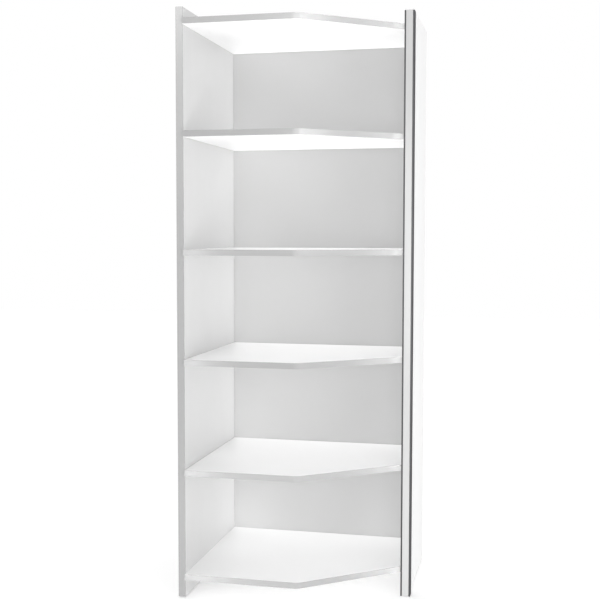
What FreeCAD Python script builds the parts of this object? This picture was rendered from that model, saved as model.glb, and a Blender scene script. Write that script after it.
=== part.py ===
import FreeCAD, Part
import os
import Sketcher

# Open end shelving unit: two upright side panels of unequal depth, a back
# panel, six pentagonal shelves and their fittings.
#
# Working coordinates, mm: x runs to the right from the outer face of the left
# side panel, y runs back from that panel's front edge, z runs up from the
# floor.  frame_x and frame_y move everything so that the origin lies on the
# floor under the middle of the overall outline.

V = FreeCAD.Vector
doc = FreeCAD.newDocument("ShelvingUnit")
sheet = doc.addObject("Spreadsheet::Sheet", "Params")

VALUES = [
    # overall and placement
    ("frame_x", 381.5), ("frame_y", 295.0), ("overall_height", 1970.0),
    # side panels
    ("glide_height", 4.0), ("left_thick", 25.0), ("right_thick", 28.0),
    ("clear_width", 705.0), ("panel_back", 598.0), ("right_front", 185.0),
    ("front_band", 2.0), ("top_band", 1.0),
    # back panel
    ("back_inner", 584.0), ("back_thick", 4.0), ("back_tongue", 7.5),
    ("groove_depth", 8.0), ("groove_play", 0.1),
    # shelves
    ("shelf_thick", 20.0), ("shelf_front", -8.0), ("vertex_x", 389.0),
    ("diag_rise", 260.0), ("shelf_band", 1.0), ("loose_gap", 1.0),
    ("corner_round", 50.0),
    ("level_top", 1913.0), ("level_two", 1547.0), ("level_three", 1157.0),
    ("level_four", 790.0), ("level_five", 418.0), ("level_bottom", 63.0),
    # cam fittings and dowels, measured along y in the shelf
    ("cam_back_set", 34.0), ("cam_rad", 7.5), ("cam_tall", 13.2),
    ("cam_bore", 14.4), ("bolt_bore", 4.0), ("bolt_thread", 2.5),
    ("bolt_screw", 11.0), ("cam_left_front", 68.0), ("cam_left_rear", 520.0),
    ("cam_right_front", 318.0), ("cam_right_rear", 536.0),
    ("dowel_rad", 4.0), ("dowel_long", 35.0), ("dowel_in_panel", 12.0),
    ("dowel_shift", 40.0), ("hole_play", 0.1),
    # concealed support wires of the loose shelves
    ("wire_rad", 1.75), ("wire_out", 4.5), ("wire_sink", 8.5),
    ("wire_bend", 3.5), ("wire_left_start", 90.0), ("wire_left_span", 400.0),
    ("wire_right_start", 345.0), ("wire_right_span", 180.0),
    ("kerf_tall", 4.0), ("kerf_deep", 10.0), ("kerf_nose", 12.0),
    # trim on the right panel's front edge
    ("trim_front", 180.0), ("trim_wide", 33.0), ("trim_deep", 36.0),
    ("trim_base", 2.5), ("trim_rim", 3.6), ("trim_bottom", 1.0),
    ("trim_long", 1962.0), ("insert_wide", 22.6), ("insert_thick", 2.3),
    ("insert_set", 0.2),
    # trim screws
    ("trim_screw_first", 120.0), ("trim_screw_step", 431.0),
    # back-panel screws
    ("back_screw_rad", 1.5), ("back_screw_long", 20.0),
    ("back_screw_edge", 90.0),
    # glides
    ("glide_rad", 10.0), ("glide_pin", 15.0), ("glide_left_front", 45.0),
    ("glide_right_front", 230.0), ("glide_rear", 555.0),
    # wall brackets
    ("bracket_wide", 30.0), ("bracket_leg", 42.0), ("bracket_tall", 32.0),
    ("bracket_thick", 2.0), ("bracket_hole", 2.75), ("bracket_inset", 72.5),
    ("bracket_hole_up", 20.0),
]
for row, (alias, value) in enumerate(VALUES, start=1):
    sheet.set("A%d" % row, alias.replace("_", " "))
    sheet.set("B%d" % row, repr(value))
    sheet.setAlias("B%d" % row, alias)
doc.recompute()
TABLE = dict(VALUES)


class Dim:
    """A size with its number and the text that ties it to the sheet."""

    def __init__(self, v, t):
        self.v = float(v)
        self.t = t

    @staticmethod
    def of(x):
        return x if isinstance(x, Dim) else Dim(x, repr(float(x)))

    def _join(self, other, sign, v):
        return Dim(v, "(%s %s %s)" % (self.t, sign, Dim.of(other).t))

    def __add__(self, o):
        return self._join(o, "+", self.v + Dim.of(o).v)

    def __radd__(self, o):
        return Dim.of(o) + self

    def __sub__(self, o):
        return self._join(o, "-", self.v - Dim.of(o).v)

    def __rsub__(self, o):
        return Dim.of(o) - self

    def __mul__(self, o):
        return self._join(o, "*", self.v * Dim.of(o).v)

    def __rmul__(self, o):
        return Dim.of(o) * self

    def __truediv__(self, o):
        return self._join(o, "/", self.v / Dim.of(o).v)

    def __neg__(self):
        return Dim.of(0.0) - self


def root(d):
    return Dim(d.v ** 0.5, "sqrt(%s)" % d.t)


def p(alias):
    return Dim(TABLE[alias], "Params." + alias)


PARTS = []


def place(obj, x, y, z):
    """Put an object at a point of the working coordinates."""
    pos = (Dim.of(x) - p("frame_x"), Dim.of(y) - p("frame_y"), Dim.of(z))
    rot = obj.Placement.Rotation
    obj.Placement = FreeCAD.Placement(V(pos[0].v, pos[1].v, pos[2].v), rot)
    for axis, d in zip("xyz", pos):
        obj.setExpression("Placement.Base." + axis, d.t)


def body(name, keep=True):
    b = doc.addObject("PartDesign::Body", name)
    b.Label = name
    if keep:
        PARTS.append(b)
    return b


def origin_item(b, role):
    for o in b.Origin.OriginFeatures:
        if o.Role == role:
            return o
    raise RuntimeError("no " + role)


def sketch(b, role, name, off=None):
    sk = b.newObject("Sketcher::SketchObject", name)
    sk.AttachmentSupport = (origin_item(b, role), [""])
    sk.MapMode = "FlatFace"
    if off is not None:
        off = Dim.of(off)
        sk.AttachmentOffset = FreeCAD.Placement(V(0, 0, off.v), FreeCAD.Rotation())
        sk.setExpression("AttachmentOffset.Base.z", off.t)
    return sk


def pin_point(sk, geo, pos, x, y):
    """Fix one vertex of a sketch by its two distances from the origin."""
    for kind, d, axis in (("DistanceX", Dim.of(x), -2), ("DistanceY", Dim.of(y), -1)):
        if abs(d.v) < 1e-9:
            sk.addConstraint(Sketcher.Constraint("PointOnObject", geo, pos, axis))
        else:
            i = sk.addConstraint(Sketcher.Constraint(kind, -1, 1, geo, pos, d.v))
            sk.setExpression("Constraints[%d]" % i, d.t)


def polygon(sk, pts):
    pts = [(Dim.of(x), Dim.of(y)) for x, y in pts]
    n = len(pts)
    first = sk.GeometryCount
    for i in range(n):
        a, b = pts[i], pts[(i + 1) % n]
        sk.addGeometry(Part.LineSegment(V(a[0].v, a[1].v, 0), V(b[0].v, b[1].v, 0)), False)
    for i in range(n):
        sk.addConstraint(Sketcher.Constraint("Coincident", first + i, 2, first + (i + 1) % n, 1))
    for i in range(n):
        pin_point(sk, first + i, 1, *pts[i])


def circle(sk, x, y, r):
    x, y, r = Dim.of(x), Dim.of(y), Dim.of(r)
    g = sk.addGeometry(Part.Circle(V(x.v, y.v, 0), V(0, 0, 1), r.v), False)
    pin_point(sk, g, 3, x, y)
    i = sk.addConstraint(Sketcher.Constraint("Radius", g, r.v))
    sk.setExpression("Constraints[%d]" % i, r.t)


def pad(b, sk, length, back=False):
    doc.recompute()
    f = b.newObject("PartDesign::Pad", b.Name + "_pad")
    f.Profile = sk
    f.Length = Dim.of(length).v
    f.setExpression("Length", Dim.of(length).t)
    f.Reversed = back
    doc.recompute()
    b.Tip = f
    return f


def pocket(b, sk, length, back=False):
    doc.recompute()
    before = b.Shape.Volume
    f = b.newObject("PartDesign::Pocket", b.Name + "_cut")
    f.Profile = sk
    f.Length = Dim.of(length).v
    f.setExpression("Length", Dim.of(length).t)
    f.Reversed = back
    doc.recompute()
    b.Tip = f
    if not b.Shape.Volume < before - 1e-6:
        raise RuntimeError("a cut in %s removed nothing" % b.Label)
    return f


def dress(b, kind, size, pick):
    """Round or bevel the edges of the tip that pick() accepts."""
    base = b.Tip
    names = ["Edge%d" % (i + 1) for i, e in enumerate(base.Shape.Edges) if pick(e)]
    if not names:
        raise RuntimeError("no edge to dress in " + b.Label)
    f = b.newObject("PartDesign::" + kind, b.Name + "_" + kind.lower())
    f.Base = (base, names)
    size = Dim.of(size)
    key = "Radius" if kind == "Fillet" else "Size"
    setattr(f, key, size.v)
    f.setExpression(key, size.t)
    doc.recompute()
    b.Tip = f
    return f


def along(axis, at=None):
    """An edge test: straight, parallel to an axis, through given values."""
    k = "xyz".index(axis)

    def test(e):
        if not isinstance(e.Curve, Part.Line):
            return False
        a, c = e.Vertexes[0].Point, e.Vertexes[-1].Point
        d = c - a
        if abs(d[k]) < d.Length * 0.9999:
            return False
        m = (a + c) * 0.5
        return all(abs(m["xyz".index(n)] - v) < 1e-3 for n, v in (at or {}).items())
    return test


def turned(name, pts, keep=False):
    """A round piece turned about its own x axis from (along, radius) points."""
    b = body(name, keep)
    sk = sketch(b, "XY_Plane", name + "_outline")
    polygon(sk, pts)
    doc.recompute()
    f = b.newObject("PartDesign::Revolution", name + "_turn")
    f.Profile = sk
    f.ReferenceAxis = (origin_item(b, "X_Axis"), [""])
    f.Angle = 360
    doc.recompute()
    b.Tip = f
    return b


def group(name, unit, spots):
    """Identical separate pieces: one unit repeated at (x, y, z, rotation)."""
    links = []
    for i, (x, y, z, rot) in enumerate(spots):
        link = doc.addObject("App::Link", "%s_%02d" % (name, i + 1))
        link.LinkedObject = unit
        link.Placement = FreeCAD.Placement(V(0, 0, 0), rot)
        place(link, x, y, z)
        links.append(link)
    c = doc.addObject("Part::Compound", name)
    c.Label = name
    c.Links = links
    doc.recompute()
    PARTS.append(c)
    return c


NO_TURN = FreeCAD.Rotation()
HALF_Z = FreeCAD.Rotation(V(0, 0, 1), 180)

# ---------------------------------------------------------------- positions
inner_left = p("left_thick")
inner_right = p("left_thick") + p("clear_width")
panel_long = p("overall_height") - p("glide_height")
board_long = panel_long - p("top_band")
half_shelf = p("shelf_thick") / 2.0
FIXED = [("top_shelf", "level_top"), ("shelf_3", "level_three"), ("bottom_shelf", "level_bottom")]
LOOSE = [("shelf_2", "level_two"), ("shelf_4", "level_four"), ("shelf_5", "level_five")]
CAMS_LEFT = ["cam_left_front", "cam_left_rear"]
CAMS_RIGHT = ["cam_right_front", "cam_right_rear"]


def dowel_y(alias):
    """Each dowel stands beside a cam, towards the middle of the shelf end."""
    return p(alias) + p("dowel_shift") if alias.endswith("front") else p(alias) - p("dowel_shift")


def bore_panel(b, face_off, y_shift, cams, start, span, into_plus_x):
    """Drill one side panel's inner face and mill its back-panel groove."""
    down = p("glide_height")
    sk = sketch(b, "YZ_Plane", b.Name + "_groove", face_off)
    y0 = p("back_inner") - p("groove_play") - y_shift
    y1 = p("back_inner") + p("back_thick") + p("groove_play") - y_shift
    z0 = p("level_bottom") - 1.0 - down
    z1 = p("level_top") + p("shelf_thick") + 1.0 - down
    polygon(sk, [(y0, z0), (y1, z0), (y1, z1), (y0, z1)])
    pocket(b, sk, p("groove_depth"), into_plus_x)

    sk = sketch(b, "YZ_Plane", b.Name + "_bolt_holes", face_off)
    for _, level in FIXED:
        for c in cams:
            circle(sk, p(c) - y_shift, p(level) + half_shelf - down, p("bolt_thread") + p("hole_play"))
    pocket(b, sk, p("bolt_screw") + 0.5, into_plus_x)

    sk = sketch(b, "YZ_Plane", b.Name + "_dowel_holes", face_off)
    for _, level in FIXED:
        for c in cams:
            circle(sk, dowel_y(c) - y_shift, p(level) + half_shelf - down, p("dowel_rad") + p("hole_play"))
    pocket(b, sk, p("dowel_in_panel") + 0.5, into_plus_x)

    sk = sketch(b, "YZ_Plane", b.Name + "_wire_holes", face_off)
    for _, level in LOOSE:
        for y in (p(start), p(start) + p(span)):
            circle(sk, y - y_shift, p(level) + half_shelf - down, p("wire_rad") + p("hole_play"))
    pocket(b, sk, p("wire_sink") + 0.5, into_plus_x)


# --------------------------------------------------------------- side panels
left = body("left_side_panel")
sk = sketch(left, "YZ_Plane", "left_outline")
left_deep = p("panel_back") - p("front_band")
polygon(sk, [(0, 0), (left_deep, 0), (left_deep, board_long), (0, board_long)])
pad(left, sk, p("left_thick"))
bore_panel(left, p("left_thick"), p("front_band"), CAMS_LEFT,
           "wire_left_start", "wire_left_span", False)
sk = sketch(left, "XY_Plane", "left_glide_holes")
for a in ("glide_left_front", "glide_rear"):
    circle(sk, p("left_thick") / 2.0, p(a) - p("front_band"), 1.6)
pocket(left, sk, p("glide_pin") + 0.5, True)
place(left, 0, p("front_band"), p("glide_height"))

right = body("right_side_panel")
sk = sketch(right, "YZ_Plane", "right_outline")
right_deep = p("panel_back") - p("right_front")
polygon(sk, [(0, 0), (right_deep, 0), (right_deep, board_long), (0, board_long)])
pad(right, sk, p("right_thick"))
bore_panel(right, 0, p("right_front"), CAMS_RIGHT,
           "wire_right_start", "wire_right_span", True)
sk = sketch(right, "XY_Plane", "right_glide_holes")
for a in ("glide_right_front", "glide_rear"):
    circle(sk, p("right_thick") / 2.0, p(a) - p("right_front"), 1.6)
pocket(right, sk, p("glide_pin") + 0.5, True)
TRIM_SCREWS = [p("trim_screw_first") + p("trim_screw_step") * float(i) for i in range(5)]
trim_mid = p("trim_rim") + 1.6 + p("insert_wide") / 2.0
sk = sketch(right, "XZ_Plane", "right_trim_pilots")
for z in TRIM_SCREWS:
    circle(sk, trim_mid, z - p("glide_height"), 1.85)
pocket(right, sk, 24.0)
place(right, inner_right, p("right_front"), p("glide_height"))

# Edge band on the left panel's front edge, its two long outer arrises rounded.
lf = body("left_panel_front_band")
sk = sketch(lf, "XY_Plane", "left_front_band_section")
polygon(sk, [(0, 0), (p("left_thick"), 0), (p("left_thick"), p("front_band")), (0, p("front_band"))])
pad(lf, sk, panel_long)
dress(lf, "Fillet", 0.9, along("z", {"y": 0.0}))
place(lf, 0, 0, p("glide_height"))

# Thin bands on the sawn top edges of both side panels.
for name, x, y0, wide in (("left_panel_top_band", Dim.of(0.0), p("front_band"), p("left_thick")),
                          ("right_panel_top_band", inner_right, p("right_front"), p("right_thick"))):
    b = body(name)
    sk = sketch(b, "XY_Plane", name + "_outline")
    deep = p("panel_back") - y0
    polygon(sk, [(0, 0), (wide, 0), (wide, deep), (0, deep)])
    pad(b, sk, p("top_band"))
    top = p("top_band").v
    dress(b, "Fillet", 0.5, along("y", {"z": top}))
    place(b, x, y0, p("overall_height") - p("top_band"))

# ---------------------------------------------------------------- back panel
back = body("back_panel")
sk = sketch(back, "XZ_Plane", "back_outline")
back_wide = p("clear_width") + p("back_tongue") * 2.0
back_tall = p("level_top") + p("shelf_thick") - p("level_bottom")
polygon(sk, [(0, 0), (back_wide, 0), (back_wide, back_tall), (0, back_tall)])
pad(back, sk, p("back_thick"), True)
sk = sketch(back, "XZ_Plane", "back_screw_holes", -p("back_thick"))
BACK_X = [p("back_screw_edge"), p("clear_width") / 2.0, p("clear_width") - p("back_screw_edge")]
for _, level in FIXED:
    for x in BACK_X:
        circle(sk, x + p("back_tongue"), p(level) + half_shelf - p("level_bottom"),
               p("back_screw_rad") + p("hole_play"))
pocket(back, sk, p("back_thick") + 1.0, True)
place(back, inner_left - p("back_tongue"), p("back_inner"), p("level_bottom"))


# ------------------------------------------------------------------- shelves
def shelf_shape(gap):
    """Corner points of a shelf whose ends stop short of the panels by gap.

    The front edge runs along the back panel as far as the vertex, then
    straight on a diagonal to the right-hand end.  The vertex is rounded.
    """
    wide = p("clear_width") - gap * 2.0
    vert = p("vertex_x") - gap
    run = p("clear_width") - p("vertex_x")
    rise = p("diag_rise") * (wide - vert) / run
    slope_long = root(run * run + p("diag_rise") * p("diag_rise"))
    deep = p("back_inner") - p("shelf_front") - gap
    t = p("shelf_band")
    miter = t * (slope_long - run) / p("diag_rise")
    lift = t * slope_long / run
    return wide, vert, rise, deep, miter, lift, t


def make_board(name, gap):
    wide, vert, rise, deep, miter, lift, t = shelf_shape(gap)
    b = body(name)
    sk = sketch(b, "XY_Plane", name + "_outline")
    polygon(sk, [(0, t), (vert - miter, t), (wide, rise + lift), (wide, deep), (0, deep)])
    pad(b, sk, p("shelf_thick"))
    dress(b, "Fillet", p("corner_round") - t, along("z", {"x": (vert - miter).v, "y": t.v}))
    return b


def make_band(name, gap, x, z):
    wide, vert, rise, deep, miter, lift, t = shelf_shape(gap)
    b = body(name + "_edge_band")
    sk = sketch(b, "XY_Plane", name + "_band_section")
    polygon(sk, [(0, 0), (vert, 0), (wide, rise), (wide, rise + lift), (vert - miter, t), (0, t)])
    pad(b, sk, p("shelf_thick"))
    # the band follows the rounded vertex: its inner bend first, then its outer one
    dress(b, "Fillet", p("corner_round") - t, along("z", {"x": (vert - miter).v, "y": t.v}))
    dress(b, "Fillet", p("corner_round"), along("z", {"x": vert.v, "y": 0.0}))
    slope = V(wide.v - vert.v, rise.v, 0).normalize()

    def long_front(e):
        a, c = e.Vertexes[0].Point, e.Vertexes[-1].Point
        m = (a + c) * 0.5
        if abs(a.z - c.z) > 1e-6 or (c - a).Length < 50:
            return False
        on_front = abs(m.y) < 1e-6
        off = V(m.x - vert.v, m.y, 0)
        on_slope = abs(off.x * slope.y - off.y * slope.x) < 1e-6
        return on_front or on_slope
    dress(b, "Fillet", 0.5, long_front)
    place(b, x, p("shelf_front"), z)
    return b


def fixed_shelf(name, level, cams_on_top):
    gap = Dim.of(0.0)
    wide, vert, rise, deep, miter, lift, t = shelf_shape(gap)
    b = make_board(name, gap)
    shift = p("shelf_front")
    face = p("shelf_thick") if cams_on_top else 0
    # blind bores for the cams
    sk = sketch(b, "XY_Plane", name + "_cam_bores", face)
    for c in CAMS_LEFT:
        circle(sk, p("cam_back_set"), p(c) - shift, p("cam_rad") + p("hole_play"))
    for c in CAMS_RIGHT:
        circle(sk, wide - p("cam_back_set"), p(c) - shift, p("cam_rad") + p("hole_play"))
    pocket(b, sk, p("cam_bore"), not cams_on_top)
    # end bores for the cam bolts and dowels, left end then right end
    for end, off, cams, plus in (("l", Dim.of(0.0), CAMS_LEFT, True), ("r", wide, CAMS_RIGHT, False)):
        sk = sketch(b, "YZ_Plane", "%s_bolt_bores_%s" % (name, end), off)
        for c in cams:
            circle(sk, p(c) - shift, half_shelf, p("bolt_bore"))
        pocket(b, sk, p("cam_back_set"), plus)
        sk = sketch(b, "YZ_Plane", "%s_dowel_bores_%s" % (name, end), off)
        for c in cams:
            circle(sk, dowel_y(c) - shift, half_shelf, p("dowel_rad") + p("hole_play"))
        pocket(b, sk, p("dowel_long") - p("dowel_in_panel") + 1.0, plus)
    # pilot holes for the back-panel screws, running forward from the rear edge
    sk = sketch(b, "XZ_Plane", name + "_back_pilots", -deep)
    for x in BACK_X:
        circle(sk, x, half_shelf, p("back_screw_rad") + p("hole_play"))
    pocket(b, sk, p("back_screw_long") - p("back_thick") + 1.0, True)
    place(b, inner_left, shift, p(level))
    make_band(name, gap, inner_left, p(level))
    return b


top = fixed_shelf("top_shelf", "level_top", True)
# pilot holes for the wall-bracket screws in the top shelf's upper face
bracket_x = [p("bracket_inset"), p("clear_width") - p("bracket_inset")]
bracket_front = p("panel_back") - p("bracket_leg")
BRACKET_SCREW_Y = bracket_front + 12.0
sk = sketch(top, "XY_Plane", "top_shelf_bracket_pilots", p("shelf_thick"))
for x in bracket_x:
    for dx in (-8.0, 8.0):
        circle(sk, x + dx, BRACKET_SCREW_Y - p("shelf_front"), 1.85)
pocket(top, sk, 15.0)
fixed_shelf("shelf_3", "level_three", False)
fixed_shelf("bottom_shelf", "level_bottom", False)


def loose_shelf(name, level):
    gap = p("loose_gap")
    wide, vert, rise, deep, miter, lift, t = shelf_shape(gap)
    b = make_board(name, gap)
    shift = p("shelf_front")
    # A kerf in each end takes the support wire.  It is open at the rear edge
    # and stops short of the wire's front leg, so the shelf pulls out forwards.
    # The kerf rides with its upper side close over the wire.
    z1 = half_shelf + p("wire_rad") + p("hole_play")
    z0 = z1 - p("kerf_tall")
    for end, off, start, plus in (("l", Dim.of(0.0), "wire_left_start", True),
                                  ("r", wide, "wire_right_start", False)):
        y0 = p(start) - p("kerf_nose") - shift
        y1 = deep + 5.0
        sk = sketch(b, "YZ_Plane", "%s_kerf_%s" % (name, end), off)
        polygon(sk, [(y0, z0), (y1, z0), (y1, z1), (y0, z1)])
        pocket(b, sk, p("kerf_deep"), plus)
    place(b, inner_left + gap, shift, p(level))
    make_band(name, gap, inner_left + gap, p(level))


for name, level in LOOSE:
    loose_shelf(name, level)


def wire(name, start, span, level, mirrored):
    """Bent round wire: a long straight run with a short leg at each end.

    The legs sit in the side panel and the run stands a little clear of it.
    """
    b = body(name)
    sink, out, bend = p("wire_sink"), p("wire_out"), p("wire_bend")
    s = -1.0 if mirrored else 1.0
    path = sketch(b, "XY_Plane", name + "_path")
    lo, hi = -sink.v * s, out.v * s
    r = bend.v
    L = p(span).v
    c0 = V(hi - r * s, r, 0)
    c1 = V(hi - r * s, L - r, 0)
    k = 0.5 ** 0.5
    path.addGeometry(Part.LineSegment(V(lo, 0, 0), V(c0.x, 0, 0)), False)
    path.addGeometry(Part.Arc(V(c0.x, 0, 0), V(c0.x + r * k * s, r - r * k, 0), V(hi, r, 0)), False)
    path.addGeometry(Part.LineSegment(V(hi, r, 0), V(hi, L - r, 0)), False)
    path.addGeometry(Part.Arc(V(hi, L - r, 0), V(c1.x + r * k * s, L - r + r * k, 0), V(c1.x, L, 0)), False)
    path.addGeometry(Part.LineSegment(V(c1.x, L, 0), V(lo, L, 0)), False)
    sec = sketch(b, "YZ_Plane", name + "_section", -sink * s)
    circle(sec, 0, 0, p("wire_rad"))
    doc.recompute()
    f = b.newObject("PartDesign::AdditivePipe", name + "_pipe")
    f.Profile = sec
    f.Spine = (path, [])
    doc.recompute()
    b.Tip = f
    x = inner_right if mirrored else inner_left
    place(b, x, p(start), p(level) + half_shelf)


for name, level in LOOSE:
    wire(name + "_left_wire", "wire_left_start", "wire_left_span", level, False)
    wire(name + "_right_wire", "wire_right_start", "wire_right_span", level, True)

# -------------------------------------------------------- right-hand trim
# Angle section: the front flange covers the right panel's front edge and holds
# a pale strip between two rims, the side flange lies on its outer face.
trim = body("right_edge_profile")
sk = sketch(trim, "XY_Plane", "trim_section")
w = p("trim_wide")
rim = p("trim_rim")
base_y = p("right_front") - p("trim_base") - p("trim_front")
polygon(sk, [(0, 0), (rim, 0), (rim, base_y), (w - rim, base_y), (w - rim, 0), (w, 0),
             (w, p("trim_deep")), (p("right_thick"), p("trim_deep")),
             (p("right_thick"), p("right_front") - p("trim_front")),
             (0, p("right_front") - p("trim_front"))])
pad(trim, sk, p("trim_long"))


def trim_arris(e):
    if not along("z")(e):
        return False
    q = e.Vertexes[0].Point
    spots = [(0, 0), (w.v, 0), (w.v, p("trim_deep").v)]
    return any(abs(q.x - a) < 1e-3 and abs(q.y - c) < 1e-3 for a, c in spots)


dress(trim, "Fillet", 1.0, trim_arris)
sk = sketch(trim, "XZ_Plane", "trim_screw_holes", -base_y)
for z in TRIM_SCREWS:
    circle(sk, trim_mid, z - p("trim_bottom"), 1.9)
pocket(trim, sk, p("trim_base") + 1.0, False)


def screw_mouth(e):
    return isinstance(e.Curve, Part.Circle) and abs(e.Curve.Radius - 1.9) < 1e-3 \
        and abs(e.Curve.Center.y - base_y.v) < 1e-3


dress(trim, "Chamfer", 1.75, screw_mouth)
place(trim, inner_right, p("trim_front"), p("trim_bottom"))

strip = body("right_edge_insert")
sk = sketch(strip, "XY_Plane", "insert_section")
polygon(sk, [(0, 0), (p("insert_wide"), 0), (p("insert_wide"), p("insert_thick")), (0, p("insert_thick"))])
pad(strip, sk, p("trim_long"))
dress(strip, "Fillet", 0.5, along("z", {"y": 0.0}))
place(strip, inner_right + p("trim_rim") + 1.6, p("trim_front") + p("insert_set"), p("trim_bottom"))

# Countersunk screw, head at the origin, shank along +x.
screw = turned("trim_screw_unit", [(0, 0), (0, 3.4), (0.1, 3.4), (1.85, 1.75), (22.0, 1.75), (24.0, 0.3), (24.0, 0)])
sk = sketch(screw, "YZ_Plane", "trim_screw_drive")
polygon(sk, [(-0.5, -2.0), (0.5, -2.0), (0.5, -0.5), (2.0, -0.5), (2.0, 0.5), (0.5, 0.5),
             (0.5, 2.0), (-0.5, 2.0), (-0.5, 0.5), (-2.0, 0.5), (-2.0, -0.5), (-0.5, -0.5)])
pocket(screw, sk, 1.2, True)
into_y = FreeCAD.Rotation(V(0, 0, 1), 90)
group("right_edge_screws", screw,
      [(inner_right + trim_mid, p("right_front") - p("trim_base") + 0.05, z, into_y) for z in TRIM_SCREWS])

# --------------------------------------------------- cams, bolts and dowels
set_ = p("cam_back_set")
bolt = turned("cam_bolt_unit", [
    (-p("bolt_screw"), 0), (-p("bolt_screw"), 1.6), (-p("bolt_screw") + 1.2, p("bolt_thread")),
    (0, p("bolt_thread")), (0, 3.6), (1.4, 3.6), (1.4, 3.0), (set_ - 6.0, 3.0),
    (set_ - 5.0, 1.9), (set_ - 1.4, 1.9), (set_ - 0.6, 3.3), (set_ + 1.6, 3.3), (set_ + 2.2, 2.6), (set_ + 2.2, 0)])
spots = []
for _, level in FIXED:
    for c in CAMS_LEFT:
        spots.append((inner_left, p(c), p(level) + half_shelf, NO_TURN))
    for c in CAMS_RIGHT:
        spots.append((inner_right, p(c), p(level) + half_shelf, HALF_Z))
group("cam_bolts", bolt, spots)

# Cam: a round plug with a cross recess in its outer face and a mouth in its
# side for the head of the bolt.  Its outer face is at z = 0, its mouth faces -x.
cam = body("cam_unit", False)
sk = sketch(cam, "XY_Plane", "cam_outline")
circle(sk, 0, 0, p("cam_rad"))
pad(cam, sk, p("cam_tall"))
dress(cam, "Chamfer", 0.4, lambda e: isinstance(e.Curve, Part.Circle) and abs(e.Curve.Center.z) < 1e-6)
axis_up = half_shelf - 0.6
sk = sketch(cam, "YZ_Plane", "cam_mouth", -p("cam_rad") - 1.0)
polygon(sk, [(-3.8, axis_up - 3.8), (3.8, axis_up - 3.8), (3.8, p("cam_tall") + 1.0), (-3.8, p("cam_tall") + 1.0)])
pocket(cam, sk, p("cam_rad") + 1.0 + 3.4, True)
sk = sketch(cam, "XY_Plane", "cam_drive")
polygon(sk, [(-0.9, -3.6), (0.9, -3.6), (0.9, -0.9), (3.6, -0.9), (3.6, 0.9), (0.9, 0.9),
             (0.9, 3.6), (-0.9, 3.6), (-0.9, 0.9), (-3.6, 0.9), (-3.6, -0.9), (-0.9, -0.9)])
pocket(cam, sk, 2.6, True)
sk = sketch(cam, "XY_Plane", "cam_socket")
circle(sk, 0, 0, 2.0)
pocket(cam, sk, 2.6, True)
# Cover cap: a thin domed disc on the shelf face with a short peg in the cam.
cap = turned("cap_unit", [(-1.0, 0), (-1.0, 7.6), (-0.7, 8.4), (-0.2, 8.8), (0, 8.8), (0, 1.9), (2.2, 1.9), (2.2, 0)])

down = FreeCAD.Rotation(V(1, 0, 0), 180)
cam_spots, cap_spots, dowel_spots = [], [], []
cap_up = FreeCAD.Rotation(V(0, 1, 0), -90)
cap_down = FreeCAD.Rotation(V(0, 1, 0), 90)
for name, level in FIXED:
    on_top = name == "top_shelf"
    for c, x, turn in [(c, inner_left + set_, NO_TURN) for c in CAMS_LEFT] + \
                      [(c, inner_right - set_, HALF_Z) for c in CAMS_RIGHT]:
        if on_top:
            z = p(level) + p("shelf_thick") - 0.6
            cam_spots.append((x, p(c), z, turn.multiply(down)))
            cap_spots.append((x, p(c), p(level) + p("shelf_thick"), cap_down))
        else:
            cam_spots.append((x, p(c), p(level) + 0.6, turn))
            cap_spots.append((x, p(c), p(level), cap_up))
    for c in CAMS_LEFT:
        dowel_spots.append((inner_left - p("dowel_in_panel"), dowel_y(c), p(level) + half_shelf, NO_TURN))
    for c in CAMS_RIGHT:
        dowel_spots.append((inner_right + p("dowel_in_panel"), dowel_y(c), p(level) + half_shelf, HALF_Z))
group("cams", cam, cam_spots)
group("cam_cover_caps", cap, cap_spots)
dl, dr = p("dowel_long"), p("dowel_rad")
dowel = turned("dowel_unit", [(0, 0), (0, dr - 0.8), (1.0, dr), (dl - 1.0, dr), (dl, dr - 0.8), (dl, 0)])
group("dowels", dowel, dowel_spots)

# ------------------------------------------------------- back-panel screws
sr, sl = p("back_screw_rad"), p("back_screw_long")
bscrew = turned("back_screw_unit", [(-1.8, 0), (-1.8, 1.6), (-1.2, 2.9), (0, 3.3), (0, sr), (sl - 2.0, sr), (sl, 0.3), (sl, 0)])
sk = sketch(bscrew, "YZ_Plane", "back_screw_drive", -2.0)
polygon(sk, [(-0.4, -1.6), (0.4, -1.6), (0.4, -0.4), (1.6, -0.4), (1.6, 0.4), (0.4, 0.4),
             (0.4, 1.6), (-0.4, 1.6), (-0.4, 0.4), (-1.6, 0.4), (-1.6, -0.4), (-0.4, -0.4)])
pocket(bscrew, sk, 1.2, True)
into_front = FreeCAD.Rotation(V(0, 0, 1), -90)
spots = []
for _, level in FIXED:
    for x in BACK_X:
        spots.append((inner_left + x, p("back_inner") + p("back_thick"), p(level) + half_shelf, into_front))
group("back_panel_screws", bscrew, spots)

# ------------------------------------------------------------------- glides
gh, gr = p("glide_height"), p("glide_rad")
glide = turned("glide_unit", [(0, 0), (0, gr - 1.5), (0.6, gr - 0.4), (1.6, gr), (gh, gr), (gh, 1.5),
                              (gh + p("glide_pin") - 2.0, 1.5), (gh + p("glide_pin"), 0.3), (gh + p("glide_pin"), 0)])
up = FreeCAD.Rotation(V(0, 1, 0), -90)
group("floor_glides", glide, [
    (p("left_thick") / 2.0, p("glide_left_front"), 0, up),
    (p("left_thick") / 2.0, p("glide_rear"), 0, up),
    (inner_right + p("right_thick") / 2.0, p("glide_right_front"), 0, up),
    (inner_right + p("right_thick") / 2.0, p("glide_rear"), 0, up)])

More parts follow.
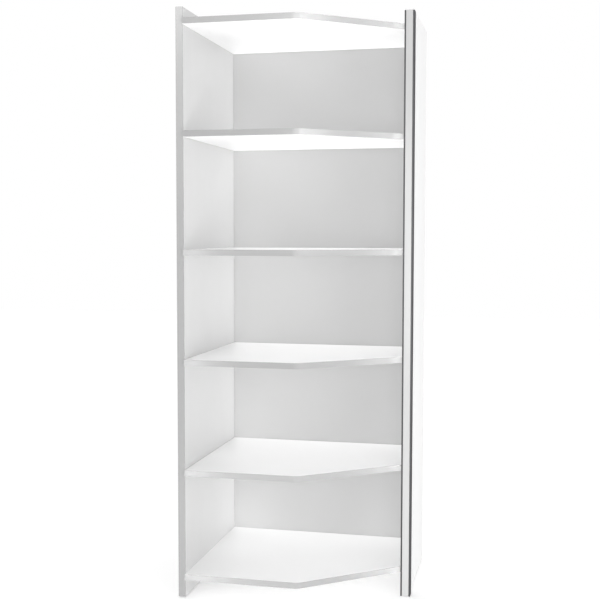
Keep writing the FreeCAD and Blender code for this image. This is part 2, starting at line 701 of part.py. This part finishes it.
# ------------------------------------------------------------ wall brackets
# Folded strip: one leg lies on the top shelf, the other stands at the wall.
unit = body("bracket_unit", False)
bl, bt, bh, bw = p("bracket_leg"), p("bracket_thick"), p("bracket_tall"), p("bracket_wide")
sk = sketch(unit, "YZ_Plane", "bracket_section", -bw / 2.0)
polygon(sk, [(0, 0), (bl, 0), (bl, bh), (bl - bt, bh), (bl - bt, bt), (0, bt)])
pad(unit, sk, bw)


def bracket_bend(e):
    if not along("x")(e):
        return False
    q = e.Vertexes[0].Point
    return abs(q.y - bl.v) < 1e-3 and abs(q.z) < 1e-3


dress(unit, "Fillet", 1.5, bracket_bend)


def bracket_corner(e):
    a, c = e.Vertexes[0].Point, e.Vertexes[-1].Point
    m = (a + c) * 0.5
    if abs(abs(m.x) - bw.v / 2.0) > 1e-3 or abs(a.x - c.x) > 1e-6:
        return False
    front = abs(a.z - c.z) > 1.9 and abs(m.y) < 1e-3
    upper = abs(a.y - c.y) > 1.9 and abs(m.z - bh.v) < 1e-3
    return front or upper


dress(unit, "Fillet", 4.0, bracket_corner)
sk = sketch(unit, "XY_Plane", "bracket_screw_holes", bt + 1.0)
for dx in (-8.0, 8.0):
    circle(sk, dx, 12.0, 2.1)
pocket(unit, sk, bt + 2.0)
sk = sketch(unit, "XZ_Plane", "bracket_wall_hole", -bl - 1.0)
circle(sk, 0, p("bracket_hole_up"), p("bracket_hole"))
pocket(unit, sk, bt + 2.0, True)
top_z = p("level_top") + p("shelf_thick")
group("wall_brackets", unit, [(inner_left + x, bracket_front, top_z, NO_TURN) for x in bracket_x])

wscrew = turned("bracket_screw_unit", [(-2.0, 0), (-2.0, 1.8), (-1.3, 3.2), (0, 3.6), (0, 1.75), (14.0, 1.75), (16.0, 0.3), (16.0, 0)])
sk = sketch(wscrew, "YZ_Plane", "bracket_screw_drive", -2.2)
polygon(sk, [(-0.4, -1.8), (0.4, -1.8), (0.4, -0.4), (1.8, -0.4), (1.8, 0.4), (0.4, 0.4),
             (0.4, 1.8), (-0.4, 1.8), (-0.4, 0.4), (-1.8, 0.4), (-1.8, -0.4), (-0.4, -0.4)])
pocket(wscrew, sk, 1.4, True)
into_down = FreeCAD.Rotation(V(0, 1, 0), 90)
group("wall_bracket_screws", wscrew,
      [(inner_left + x + dx, BRACKET_SCREW_Y, top_z + bt, into_down) for x in bracket_x for dx in (-8.0, 8.0)])

# ------------------------------------------------------------- verification
doc.recompute()
for o in doc.Objects:
    state = getattr(o, "State", [])
    if "Invalid" in state or "Error" in state:
        raise RuntimeError("%s is %s" % (o.Name, state))
labels = [o.Label for o in PARTS]
if len(set(labels)) != len(labels) or len(labels) > 60:
    raise RuntimeError("bad set of labels")
for o in PARTS:
    shape = o.Shape
    if shape.isNull() or not shape.isValid() or not shape.Solids:
        raise RuntimeError("bad shape " + o.Label)
for o in PARTS:
    if o.TypeId == "Part::Compound":
        if len(o.Shape.Solids) != len(o.Links):
            raise RuntimeError("wrong count in " + o.Label)
    elif len(o.Shape.Solids) != 1:
        raise RuntimeError("%s is not one solid" % o.Label)

os.makedirs("parts", exist_ok=True)
for o in PARTS:
    o.Shape.exportStep("parts/%s.step" % o.Label)
    bb = o.Shape.BoundBox
    print("%-24s %2d  %10.1f mm3  x %8.2f %8.2f  y %8.2f %8.2f  z %8.2f %8.2f" % (
        o.Label, len(o.Shape.Solids), o.Shape.Volume, bb.XMin, bb.XMax, bb.YMin, bb.YMax, bb.ZMin, bb.ZMax))
print(len(PARTS), "nodes")
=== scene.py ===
import math

import bpy
from mathutils import Matrix, Vector


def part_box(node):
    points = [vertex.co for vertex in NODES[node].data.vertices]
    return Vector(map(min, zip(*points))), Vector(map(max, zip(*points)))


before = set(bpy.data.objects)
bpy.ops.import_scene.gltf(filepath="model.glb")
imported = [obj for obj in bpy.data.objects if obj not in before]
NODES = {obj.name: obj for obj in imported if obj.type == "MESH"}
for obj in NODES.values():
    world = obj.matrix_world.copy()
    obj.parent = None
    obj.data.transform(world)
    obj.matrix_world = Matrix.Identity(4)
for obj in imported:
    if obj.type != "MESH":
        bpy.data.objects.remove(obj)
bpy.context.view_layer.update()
MM = 0.001


# --------------------------------------------------------------------- camera
def make_camera():
    """The view of the photograph: 600 x 600 frame, focal length 1041.6 px."""
    yaw, pitch, roll = (math.radians(a) for a in (12.923, -3.568, 0.085))
    ahead = Vector((-math.sin(yaw) * math.cos(pitch), math.cos(yaw) * math.cos(pitch), math.sin(pitch)))
    right = Vector((math.cos(yaw), math.sin(yaw), 0.0))
    up = right.cross(ahead)
    c, s = math.cos(roll), math.sin(roll)
    x, y = c * right + s * up, -s * right + c * up
    data = bpy.data.cameras.new("main_camera")
    data.sensor_width = 36.0
    data.lens = 1041.6 / 600.0 * 36.0
    data.clip_start, data.clip_end = 0.05, 200.0
    cam = bpy.data.objects.new("main_camera", data)
    cam.matrix_world = Matrix((
        (x.x, y.x, -ahead.x, 0.7915),
        (x.y, y.y, -ahead.y, -3.5754),
        (x.z, y.z, -ahead.z, 1.2251),
        (0.0, 0.0, 0.0, 1.0)))
    bpy.context.scene.collection.objects.link(cam)
    bpy.context.scene.camera = cam


make_camera()


# ------------------------------------------------------------------ materials
class Tree:
    """A material with short calls for its nodes. Patterns read the object's
    own coordinates, which are metres in the row frame."""

    def __init__(self, name):
        self.mat = bpy.data.materials.new(name)
        self.mat.use_nodes = True
        self.nt = self.mat.node_tree
        self.nt.nodes.clear()
        out = self.nt.nodes.new("ShaderNodeOutputMaterial")
        self.bsdf = self.nt.nodes.new("ShaderNodeBsdfPrincipled")
        self.nt.links.new(self.bsdf.outputs["BSDF"], out.inputs["Surface"])
        self.co = self.nt.nodes.new("ShaderNodeTexCoord").outputs["Object"]
        sep = self.nt.nodes.new("ShaderNodeSeparateXYZ")
        self.nt.links.new(self.co, sep.inputs[0])
        self.axis = {"x": sep.outputs[0], "y": sep.outputs[1], "z": sep.outputs[2]}

    def put(self, socket, value):
        if isinstance(value, bpy.types.NodeSocket):
            self.nt.links.new(value, socket)
        else:
            socket.default_value = value

    def set(self, **values):
        for name, value in values.items():
            self.put(self.bsdf.inputs[name.replace("_", " ")], value)

    def math(self, op, a, b=0.0, c=0.0, clamp=False):
        n = self.nt.nodes.new("ShaderNodeMath")
        n.operation = op
        n.use_clamp = clamp
        for i, v in enumerate((a, b, c)):
            self.put(n.inputs[i], v)
        return n.outputs[0]

    def stretch(self, scale, shift=(0.0, 0.0, 0.0), turn=(0.0, 0.0, 0.0)):
        n = self.nt.nodes.new("ShaderNodeMapping")
        n.inputs["Location"].default_value = shift
        n.inputs["Rotation"].default_value = turn
        n.inputs["Scale"].default_value = scale
        self.nt.links.new(self.co, n.inputs["Vector"])
        return n.outputs[0]

    def noise(self, scale, detail=2.0, rough=0.5, vector=None, warp=0.0):
        n = self.nt.nodes.new("ShaderNodeTexNoise")
        self.nt.links.new(vector or self.co, n.inputs["Vector"])
        n.inputs["Scale"].default_value = scale
        n.inputs["Detail"].default_value = detail
        n.inputs["Roughness"].default_value = rough
        n.inputs["Distortion"].default_value = warp
        return n.outputs["Fac"]

    def cells(self, scale, vector=None, feature="F1", out="Color", spread=1.0):
        n = self.nt.nodes.new("ShaderNodeTexVoronoi")
        n.feature = feature
        self.nt.links.new(vector or self.co, n.inputs["Vector"])
        n.inputs["Scale"].default_value = scale
        n.inputs["Randomness"].default_value = spread
        return n.outputs[out]

    def ramp(self, fac, *stops, mode="LINEAR"):
        n = self.nt.nodes.new("ShaderNodeValToRGB")
        n.color_ramp.interpolation = mode
        el = n.color_ramp.elements
        while len(el) < len(stops):
            el.new(0.5)
        for e, (at, colour) in zip(el, stops):
            e.position = at
            if not hasattr(colour, "__len__"):
                colour = (colour,) * 3
            e.color = (*colour, 1.0)
        self.put(n.inputs[0], fac)
        return n.outputs[0]

    def span(self, value, a0, a1, b0, b1):
        n = self.nt.nodes.new("ShaderNodeMapRange")
        self.put(n.inputs["Value"], value)
        for key, v in (("From Min", a0), ("From Max", a1), ("To Min", b0), ("To Max", b1)):
            n.inputs[key].default_value = v
        return n.outputs[0]

    def mix(self, fac, a, b, kind="MIX"):
        n = self.nt.nodes.new("ShaderNodeMix")
        n.data_type = "RGBA"
        n.blend_type = kind
        self.put(n.inputs[0], fac)
        for socket, v in ((n.inputs[6], a), (n.inputs[7], b)):
            if not isinstance(v, bpy.types.NodeSocket):
                v = (*v, 1.0) if hasattr(v, "__len__") else (v, v, v, 1.0)
            self.put(socket, v)
        return n.outputs[2]

    def blend(self, fac, a, b):
        n = self.nt.nodes.new("ShaderNodeMix")
        n.data_type = "FLOAT"
        self.put(n.inputs[0], fac)
        self.put(n.inputs[2], a)
        self.put(n.inputs[3], b)
        return n.outputs[0]

    def bump(self, height, distance, strength=1.0, below=None):
        n = self.nt.nodes.new("ShaderNodeBump")
        n.inputs["Strength"].default_value = strength
        n.inputs["Distance"].default_value = distance
        self.put(n.inputs["Height"], height)
        if below is not None:
            self.nt.links.new(below, n.inputs["Normal"])
        return n.outputs[0]

    def near(self, axis, at, width):
        """1 within width of a plane across an axis, else 0."""
        d = self.math("ABSOLUTE", self.math("SUBTRACT", self.axis[axis], at))
        return self.math("LESS_THAN", d, width)

    def close_to(self, axis, at, width):
        """Falls from 1 at a plane to 0 at width from it."""
        d = self.math("ABSOLUTE", self.math("SUBTRACT", self.axis[axis], at))
        return self.math("SUBTRACT", 1.0, self.math("DIVIDE", d, width), clamp=True)

    def any(self, *masks):
        found = masks[0]
        for m in masks[1:]:
            found = self.math("MAXIMUM", found, m)
        return found


# Painted light and shade: the shelf undersides are painted brighter than the shelf tops, though both are the same
# white board.
SHELF_UNDERSIDE_PAINTED_LIGHT = (0.97, 0.97, 0.97)
SHELF_TOP_WHITE = (0.785, 0.785, 0.785)
OUTER_WHITE = (0.745, 0.745, 0.745)
# Painted shade: the left panel's inner face is painted darker than its outer face, standing for the shade inside
# the compartments.
INNER_FACE_PAINTED_SHADE = (0.545, 0.545, 0.545)


def chip_core(t, axis, lo, hi):
    """Sawn chipboard: flakes in the middle, fine dust towards the faces."""
    mid, half = (lo + hi) / 2, (hi - lo) / 2
    off = t.math("DIVIDE", t.math("ABSOLUTE", t.math("SUBTRACT", t.axis[axis], mid)), half)
    fine = t.ramp(off, (0.45, 0.0), (0.75, 1.0))
    warp = t.noise(260.0, 2.0)
    flake = t.cells(330.0, t.stretch((1.0, 1.0, 1.0) if axis == "x" else (0.6, 1.0, 1.0)))
    dust = t.cells(1100.0)
    one = t.nt.nodes.new("ShaderNodeSeparateColor")
    t.nt.links.new(t.mix(fine, flake, dust), one.inputs[0])
    tone = t.ramp(one.outputs[0], (0.0, (0.23, 0.135, 0.065)), (0.3, (0.42, 0.27, 0.15)),
                  (0.7, (0.56, 0.40, 0.24)), (1.0, (0.70, 0.55, 0.37)))
    tone = t.mix(0.35, tone, t.ramp(warp, (0.3, (0.36, 0.24, 0.14)), (0.7, (0.63, 0.48, 0.31))))
    height = t.math("ADD", one.outputs[1], t.math("MULTIPLY", warp, 0.7))
    return tone, height


def board_material(name, axis, lo, hi, seed, lo_tone, hi_tone, edges=(), nose=None):
    """Melamine-faced chipboard: the two faces across one axis, raw core elsewhere.
    Sawn edges at the given (axis, place) planes are foiled in the tone of the high
    face, and so is a shelf end at x = nose[0] where it stands in front of
    y = nose[1]."""
    t = Tree(name)
    skin = t.any(t.near(axis, lo, 0.35 * MM), t.near(axis, hi, 0.35 * MM))
    for edge_axis, at in edges:
        skin = t.any(skin, t.near(edge_axis, at, 0.35 * MM))
    if nose:
        ahead = t.math("LESS_THAN", t.axis["y"], nose[1])
        skin = t.any(skin, t.math("MULTIPLY", ahead, t.near("x", nose[0], 0.35 * MM)))
    core, core_height = chip_core(t, axis, lo, hi)
    cloud = t.noise(2.6, 3.0, 0.55, t.stretch((1, 1, 1), (seed * 3.1, seed * 1.7, seed)))
    pearl = t.noise(850.0, 1.0)
    # The two faces can take different tones. On the shelves this paints the underside lighter than the top, and on
    # the left panel it paints the inner face darker than the outer face: painted light and shade.
    base = lo_tone if lo_tone == hi_tone else t.mix(t.near(axis, lo, 0.35 * MM), hi_tone, lo_tone)
    shade = t.math("ADD", t.span(cloud, 0.3, 0.7, 0.985, 1.0), t.math("MULTIPLY", pearl, 0.02))
    white = t.mix(1.0, base, t.math("MINIMUM", shade, 1.0), "MULTIPLY")
    t.set(Base_Color=t.mix(skin, core, white))
    # handling: cloudy gloss with a few wiped streaks
    wipe = t.noise(7.0, 4.0, 0.6, t.stretch((1.0, 1.6, 0.8), (seed, 0, seed * 2)), 0.6)
    gloss = t.math("ADD", t.span(wipe, 0.3, 0.7, 0.40, 0.46), t.math("MULTIPLY", pearl, 0.06))
    t.set(Roughness=t.blend(skin, 0.85, gloss))
    grain = t.math("ADD", t.noise(1300.0, 2.0, 0.6), t.math("MULTIPLY", t.noise(310.0, 1.0), 0.6))
    face = t.bump(t.math("MULTIPLY", grain, skin), 0.03 * MM, 0.5)
    t.set(Normal=t.bump(t.math("MULTIPLY", core_height, t.math("SUBTRACT", 1.0, skin)), 0.25 * MM, 0.9, face))
    return t.mat


def band_material(name, seed, low=0.295, high=0.315):
    """Moulded ABS edge band: fine pearled face, faintly uneven rubbed gloss."""
    t = Tree(name)
    cloud = t.noise(4.0, 3.0, 0.5, t.stretch((1, 1, 1), (seed, seed, 0)))
    # The dark grey base tone is painted shade: the white edge band is darkened to stand for the shade on the
    # front-facing edges.
    tone = t.mix(cloud, low, high)
    pearl = t.noise(1100.0, 1.0)
    tone = t.mix(t.ramp(pearl, (0.45, 0.0), (0.62, 0.10)), tone, (0.26, 0.26, 0.26))
    t.set(Base_Color=tone)
    rub = t.noise(30.0, 4.0, 0.6, t.stretch((1.0, 1.0, 0.25)))
    t.set(Roughness=t.span(rub, 0.3, 0.7, 0.34, 0.46))
    t.set(Normal=t.bump(t.noise(1500.0, 2.0), 0.02 * MM, 0.5))
    return t.mat


def back_material(front, rear):
    """Thin hardboard: smooth white lacquer in front, coloured a darker grey as painted shade, and a screen-marked
    pale back.
    """
    t = Tree("back_board")
    is_front = t.near("y", front, 0.25 * MM)
    is_rear = t.near("y", rear, 0.25 * MM)
    cloud = t.noise(2.2, 3.0, 0.5, t.stretch((1, 1, 1), (4.0, 0, 2.0)))
    # The front face's grey is painted shade of the recesses behind the shelves. The lacquer itself is white.
    white = t.mix(cloud, (0.545, 0.545, 0.545), (0.555, 0.555, 0.555))
    fibre = t.noise(420.0, 3.0, 0.6, t.stretch((1.0, 1.0, 0.35)))
    rear_tone = t.mix(fibre, (0.66, 0.655, 0.64), (0.76, 0.755, 0.745))
    core = t.mix(fibre, (0.26, 0.165, 0.09), (0.43, 0.30, 0.18))
    tone = t.mix(is_rear, t.mix(is_front, core, white), rear_tone)
    t.set(Base_Color=tone)
    t.set(Roughness=t.blend(is_front, 0.75, t.span(t.noise(9.0, 3.0), 0.3, 0.7, 0.50, 0.58)))
    t.set(Specular_IOR_Level=0.25)
    wave = t.math("MULTIPLY", t.math("SINE", t.math("MULTIPLY", t.axis["x"], 2094.0)),
                  t.math("SINE", t.math("MULTIPLY", t.axis["z"], 2094.0)))
    screen = t.math("MULTIPLY", wave, is_rear)
    peel = t.math("MULTIPLY", t.noise(480.0, 1.0), is_front)
    t.set(Normal=t.bump(screen, 0.08 * MM, 0.5, t.bump(peel, 0.03 * MM, 0.4)))
    return t.mat


def profile_material(x0, x1, y0):
    """Dark anodised extrusion: drawing lines along its length, pale arrises."""
    t = Tree("dark_anodised_profile")
    die = t.noise(1.0, 3.0, 0.65, t.stretch((2600.0, 2600.0, 2.4)))
    long = t.noise(1.0, 2.0, 0.5, t.stretch((340.0, 340.0, 0.9), (3.0, 1.0, 0)))
    tone = t.mix(die, (0.075, 0.075, 0.078), (0.100, 0.100, 0.103))
    tone = t.mix(t.ramp(long, (0.35, 0.0), (0.75, 0.35)), tone, (0.115, 0.115, 0.118))
    edge = t.math("MULTIPLY", t.any(t.close_to("x", x0, 0.5 * MM), t.close_to("x", x1, 0.5 * MM)),
                  t.close_to("y", y0, 0.8 * MM))
    worn = t.math("MULTIPLY", edge, t.ramp(t.noise(60.0, 4.0, 0.7), (0.45, 0.0), (0.65, 1.0)))
    t.set(Base_Color=t.mix(worn, tone, (0.20, 0.20, 0.20)))
    t.set(Metallic=0.85)
    t.set(Specular_Tint=(0.3, 0.3, 0.3, 1.0))
    t.set(Roughness=t.math("ADD", t.span(die, 0.25, 0.75, 0.30, 0.44), t.math("MULTIPLY", long, 0.05)))
    t.set(Normal=t.bump(die, 0.02 * MM, 0.5))
    return t.mat


def strip_material():
    """Extruded semi-gloss strip with faint flow lines along its length."""
    t = Tree("pale_insert_strip")
    flow = t.noise(1.0, 3.0, 0.6, t.stretch((900.0, 900.0, 1.6)))
    cloud = t.noise(3.0, 2.0)
    tone = t.mix(flow, (0.385, 0.385, 0.385), (0.425, 0.425, 0.425))
    tone = t.mix(t.ramp(cloud, (0.3, 0.0), (0.7, 0.25)), tone, (0.44, 0.44, 0.44))
    t.set(Base_Color=tone)
    t.set(Roughness=t.span(t.noise(14.0, 4.0, 0.6, t.stretch((1, 1, 0.3))), 0.3, 0.7, 0.13, 0.20))
    t.set(IOR=1.6)
    t.set(Normal=t.bump(flow, 0.008 * MM, 0.3))
    return t.mat


def zinc_material(name, scale):
    """Bright zinc plate: fine spangle, slight yellow-blue drift, soft pits."""
    t = Tree(name)
    spangle = t.cells(scale, None, "F1", "Distance")
    drift = t.noise(scale * 0.12, 2.0)
    tone = t.mix(drift, (0.62, 0.635, 0.65), (0.70, 0.69, 0.66))
    tone = t.mix(t.ramp(spangle, (0.2, 0.25), (0.6, 0.0)), tone, (0.50, 0.51, 0.53))
    t.set(Base_Color=tone)
    t.set(Metallic=1.0)
    t.set(Roughness=t.span(t.noise(scale * 0.7, 3.0), 0.3, 0.7, 0.24, 0.38))
    t.set(Normal=t.bump(t.noise(scale * 2.0, 2.0), 0.01 * MM, 0.5))
    return t.mat


def wire_material():
    """Nickel-plated drawn wire with fine lines along its run."""
    t = Tree("nickel_wire")
    draw = t.noise(1.0, 3.0, 0.6, t.stretch((1800.0, 12.0, 1800.0)))
    t.set(Base_Color=t.mix(draw, (0.58, 0.57, 0.55), (0.72, 0.71, 0.69)))
    t.set(Metallic=1.0)
    t.set(Roughness=t.span(draw, 0.3, 0.7, 0.20, 0.34))
    t.set(Normal=t.bump(draw, 0.01 * MM, 0.5))
    return t.mat


def cast_material():
    """Dull die-cast zinc: mottled, matt, slightly pitted."""
    t = Tree("die_cast_cam")
    mottle = t.noise(500.0, 4.0, 0.65)
    t.set(Base_Color=t.mix(mottle, (0.36, 0.365, 0.37), (0.55, 0.555, 0.56)))
    t.set(Metallic=0.9)
    t.set(Roughness=t.span(mottle, 0.3, 0.7, 0.42, 0.60))
    pits = t.cells(900.0, None, "F1", "Distance")
    t.set(Normal=t.bump(pits, 0.04 * MM, 0.4))
    return t.mat


def beech_material():
    """Raw beech: long pale grain along x with short dark ray flecks."""
    t = Tree("raw_beech")
    grain = t.noise(1.0, 4.0, 0.6, t.stretch((60.0, 1400.0, 1400.0)), 0.4)
    fleck = t.noise(1.0, 1.0, 0.5, t.stretch((350.0, 2600.0, 2600.0), (5.0, 2.0, 7.0)))
    tone = t.mix(grain, (0.55, 0.37, 0.21), (0.74, 0.56, 0.37))
    tone = t.mix(t.ramp(fleck, (0.60, 0.0), (0.68, 0.6)), tone, (0.36, 0.21, 0.11))
    t.set(Base_Color=tone)
    t.set(Roughness=t.span(grain, 0.3, 0.7, 0.58, 0.72))
    t.set(Normal=t.bump(grain, 0.06 * MM, 0.6))
    return t.mat


def plastic_material(name, tone_a, tone_b):
    """Moulded plastic: spark-eroded texture and slight flow clouding."""
    t = Tree(name)
    cloud = t.noise(90.0, 3.0)
    t.set(Base_Color=t.mix(cloud, tone_a, tone_b))
    t.set(Roughness=t.span(t.noise(300.0, 2.0), 0.3, 0.7, 0.38, 0.50))
    t.set(Normal=t.bump(t.noise(2600.0, 2.0), 0.02 * MM, 0.5))
    return t.mat


def wear(node, mat):
    ob = NODES[node]
    for i in range(max(1, len(ob.data.materials))):
        if i < len(ob.data.materials):
            ob.data.materials[i] = mat
        else:
            ob.data.materials.append(mat)


SHELVES = ("top_shelf", "shelf_2", "shelf_3", "shelf_4", "shelf_5", "bottom_shelf")
for i, n in enumerate(SHELVES):
    lo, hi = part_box(n)
    wear(n, board_material(n + "_board", "z", lo.z, hi.z, 1.0 + i, SHELF_UNDERSIDE_PAINTED_LIGHT, SHELF_TOP_WHITE,
                           nose=(lo.x, -0.29)))
    wear(n + "_edge_band", band_material(n + "_abs", 2.0 + i))
for n, tones in (("left_side_panel", (OUTER_WHITE, INNER_FACE_PAINTED_SHADE)), ("right_side_panel", (OUTER_WHITE, OUTER_WHITE))):
    lo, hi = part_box(n)
    wear(n, board_material(n + "_board", "x", lo.x, hi.x, 11.0 + lo.x, *tones,
                           edges=(("y", lo.y), ("y", hi.y), ("z", lo.z))))
# Its dark grey tone is painted shade of the front edge, as on the shelf bands.
wear("left_panel_front_band", band_material("left_panel_front_band_abs", 21.0, 0.284, 0.304))
for i, n in enumerate(("left_panel_top_band", "right_panel_top_band")):
    lo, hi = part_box(n)
    wear(n, board_material(n + "_foil", "z", lo.z, hi.z, 31.0 + i, OUTER_WHITE, OUTER_WHITE,
                           edges=(("x", lo.x), ("x", hi.x), ("y", lo.y), ("y", hi.y))))
lo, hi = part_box("back_panel")
wear("back_panel", back_material(lo.y, hi.y))
lo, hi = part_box("right_edge_profile")
wear("right_edge_profile", profile_material(lo.x, hi.x, lo.y))
wear("right_edge_insert", strip_material())
for n in ("back_panel_screws", "right_edge_screws", "wall_bracket_screws", "cam_bolts"):
    wear(n, zinc_material(n + "_zinc", 900.0))
wear("wall_brackets", zinc_material("wall_brackets_zinc", 420.0))
wire = wire_material()
for n in ("shelf_2", "shelf_4", "shelf_5"):
    wear(n + "_left_wire", wire)
    wear(n + "_right_wire", wire)
wear("cams", cast_material())
wear("dowels", beech_material())
wear("cam_cover_caps", plastic_material("cap_plastic", (0.80, 0.80, 0.795), (0.84, 0.84, 0.835)))
wear("floor_glides", plastic_material("glide_plastic", (0.74, 0.74, 0.73), (0.80, 0.80, 0.79)))


# ------------------------------------------------------------ floor and light
def make_floor():
    n, size = 24, 24.0
    pts = [((i / n - 0.5) * size, (j / n - 0.5) * size, 0.0) for j in range(n + 1) for i in range(n + 1)]
    faces = [(j * (n + 1) + i, j * (n + 1) + i + 1, (j + 1) * (n + 1) + i + 1, (j + 1) * (n + 1) + i)
             for j in range(n) for i in range(n)]
    me = bpy.data.meshes.new("studio_floor")
    me.from_pydata(pts, [], faces)
    ob = bpy.data.objects.new("studio_floor", me)
    bpy.context.scene.collection.objects.link(ob)
    t = Tree("pale_floor")
    t.set(Base_Color=t.mix(t.noise(1.4, 3.0), (0.81, 0.81, 0.81), (0.83, 0.83, 0.83)))
    t.set(Roughness=0.8)
    t.bsdf.inputs["Emission Color"].default_value = (1.0, 1.0, 1.0, 1.0)
    t.bsdf.inputs["Emission Strength"].default_value = 0.2
    t.bsdf.inputs["Specular IOR Level"].default_value = 0.2
    me.materials.append(t.mat)


def softbox(name, at, aim, wide, tall, power, spread):
    data = bpy.data.lights.new(name, "AREA")
    data.shape = "RECTANGLE"
    data.size, data.size_y = wide, tall
    data.energy = power
    data.spread = math.radians(spread)
    ob = bpy.data.objects.new(name, data)
    ob.location = at
    ob.rotation_euler = (Vector(aim) - Vector(at)).to_track_quat("-Z", "Y").to_euler()
    bpy.context.scene.collection.objects.link(ob)
    return ob


make_floor()


def make_world():
    """An even white surround."""
    world = bpy.data.worlds.new("studio")
    world.use_nodes = True
    bg = world.node_tree.nodes["Background"]
    bg.inputs["Color"].default_value = (1.0, 1.0, 1.0, 1.0)
    bg.inputs["Strength"].default_value = 1.0
    bpy.context.scene.world = world
    return world


world = make_world()
SOFTBOXES = [
    ("right_front", (3.2, -3.4, 1.6), (0.0, 0.0, 1.0), 2.0, 2.4, 24.0, 180.0),
    ("front", (0.75, -5.4, 1.15), (0.2, 0.0, 1.0), 2.2, 1.9, 62.0, 180.0),
    ("high_front", (0.3, -5.6, 3.8), (0.0, 0.0, 0.8), 2.4, 1.2, 12.0, 180.0),
    ("low_right", (2.4, -2.2, 0.15), (0.0, 0.1, 1.5), 1.2, 1.2, 18.0, 180.0),
    ("floor_up", (0.1, -1.5, 0.03), (0.1, -1.4, 2.0), 3.0, 1.3, 5.0, 100.0),
]
for box in SOFTBOXES:
    softbox(*box)


def fill(box, lit):
    """A lamp that lights only the named nodes and that nothing shades."""
    name = box[0]
    seen, shading = (bpy.data.collections.new(name + s) for s in ("_lit", "_shading"))
    for n in lit:
        seen.objects.link(NODES[n])
    shading.objects.link(NODES["floor_glides"])
    ob = softbox(*box)
    ob.visible_camera = False
    ob.light_linking.receiver_collection = seen
    ob.light_linking.blocker_collection = shading


EDGE_BANDS = [n + "_edge_band" for n in SHELVES]
fill(("edge_light", (0.50, -0.20, 0.85), (0.30, -0.02, 0.85), 0.08, 2.9, 2.3, 180.0), EDGE_BANDS)
fill(("edge_end", (0.3462, -0.0838, 1.0), (0.3271, -0.0606, 1.0), 0.01, 2.2, 0.78, 180.0), EDGE_BANDS)
fill(("edge_corner", (0.1250, -0.352, 1.70), (0.0600, -0.2740, 1.70), 0.02, 1.0, 0.54, 180.0), EDGE_BANDS[:3])
fill(("edge_left", (-0.36, -0.45, 0.62), (-0.36, -0.30, 0.62), 0.02, 1.24, 0.76, 180.0), EDGE_BANDS[2:])
fill(("top_edge", (0.10, -1.00, 2.10), (0.00, -0.30, 1.92), 0.3, 0.3, 1.6, 180.0), EDGE_BANDS[:1])
fill(("low_edges", (0.00, -0.95, 0.12), (0.00, -0.20, 0.22), 1.1, 0.2, 2.05, 180.0),
     EDGE_BANDS[4:] + ["left_panel_front_band"])
fill(("foot_left", (-0.27, -0.455, 0.073), (-0.27, -0.303, 0.073), 0.03, 0.03, 0.065, 180.0), EDGE_BANDS[5:])
fill(("foot_right", (0.346, -0.200, 0.073), (0.270, -0.108, 0.073), 0.03, 0.03, 0.045, 180.0), EDGE_BANDS[5:])
fill(("low_strip", (0.90, -0.90, 0.12), (0.37, -0.11, 0.08), 0.3, 0.3, 4.3, 180.0), ["right_edge_insert"])
fill(("top_left", (-0.60, -1.10, 2.25), (-0.37, -0.30, 1.90), 0.3, 0.3, 4.0, 180.0), ["left_panel_front_band"])
fill(("shelf_glow", (-0.004, 0.286, 1.0), (-0.004, -1.0, 1.0), 0.70, 2.2, 3.6, 180.0), SHELVES)
fill(("wall_glow", (-0.004, 0.286, 1.0), (-0.004, -1.0, 1.0), 0.70, 2.2, 3.1, 180.0),
     ("left_side_panel", "right_side_panel"))
for shelf, x, to_back, to_wall in (("shelf_2", -0.31, 0.046, 0.10), ("shelf_3", -0.31, 0.040, 0.06),
                                   ("shelf_4", -0.31, 0.036, 0.06), ("shelf_5", -0.31, 0.040, 0.04),
                                   ("bottom_shelf", -0.31, 0.060, 0.13), ("bottom_shelf", 0.20, 0.040, 0.0),
                                   ("shelf_5", 0.27, 0.014, 0.0)):
    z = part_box(shelf)[1].z + 0.05
    fill((shelf + ("_back_fill" if x < 0 else "_right_fill"), (x, 0.12, z), (x, 0.289, z), 0.06, 0.04, to_back, 180.0), ["back_panel"])
    if to_wall:
        fill((shelf + "_wall_fill", (-0.05, 0.15, z), (-0.3565, 0.15, z), 0.06, 0.04, to_wall, 180.0), ["left_side_panel"])
for shelf, y, power in (("shelf_4", -0.18, 0.010), ("shelf_5", -0.04, 0.022), ("bottom_shelf", 0.02, 0.022)):
    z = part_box(shelf)[1].z
    fill((shelf + "_corner_fill", (-0.29, y, z + 0.13), (-0.30, y, z), 0.06, 0.04, power, 180.0), [shelf])

bpy.context.scene.cycles.diffuse_bounces = 8
view = bpy.context.scene.view_settings
view.view_transform = "Standard"
view.look = "None"
view.exposure = 0.0
view.gamma = 1.0
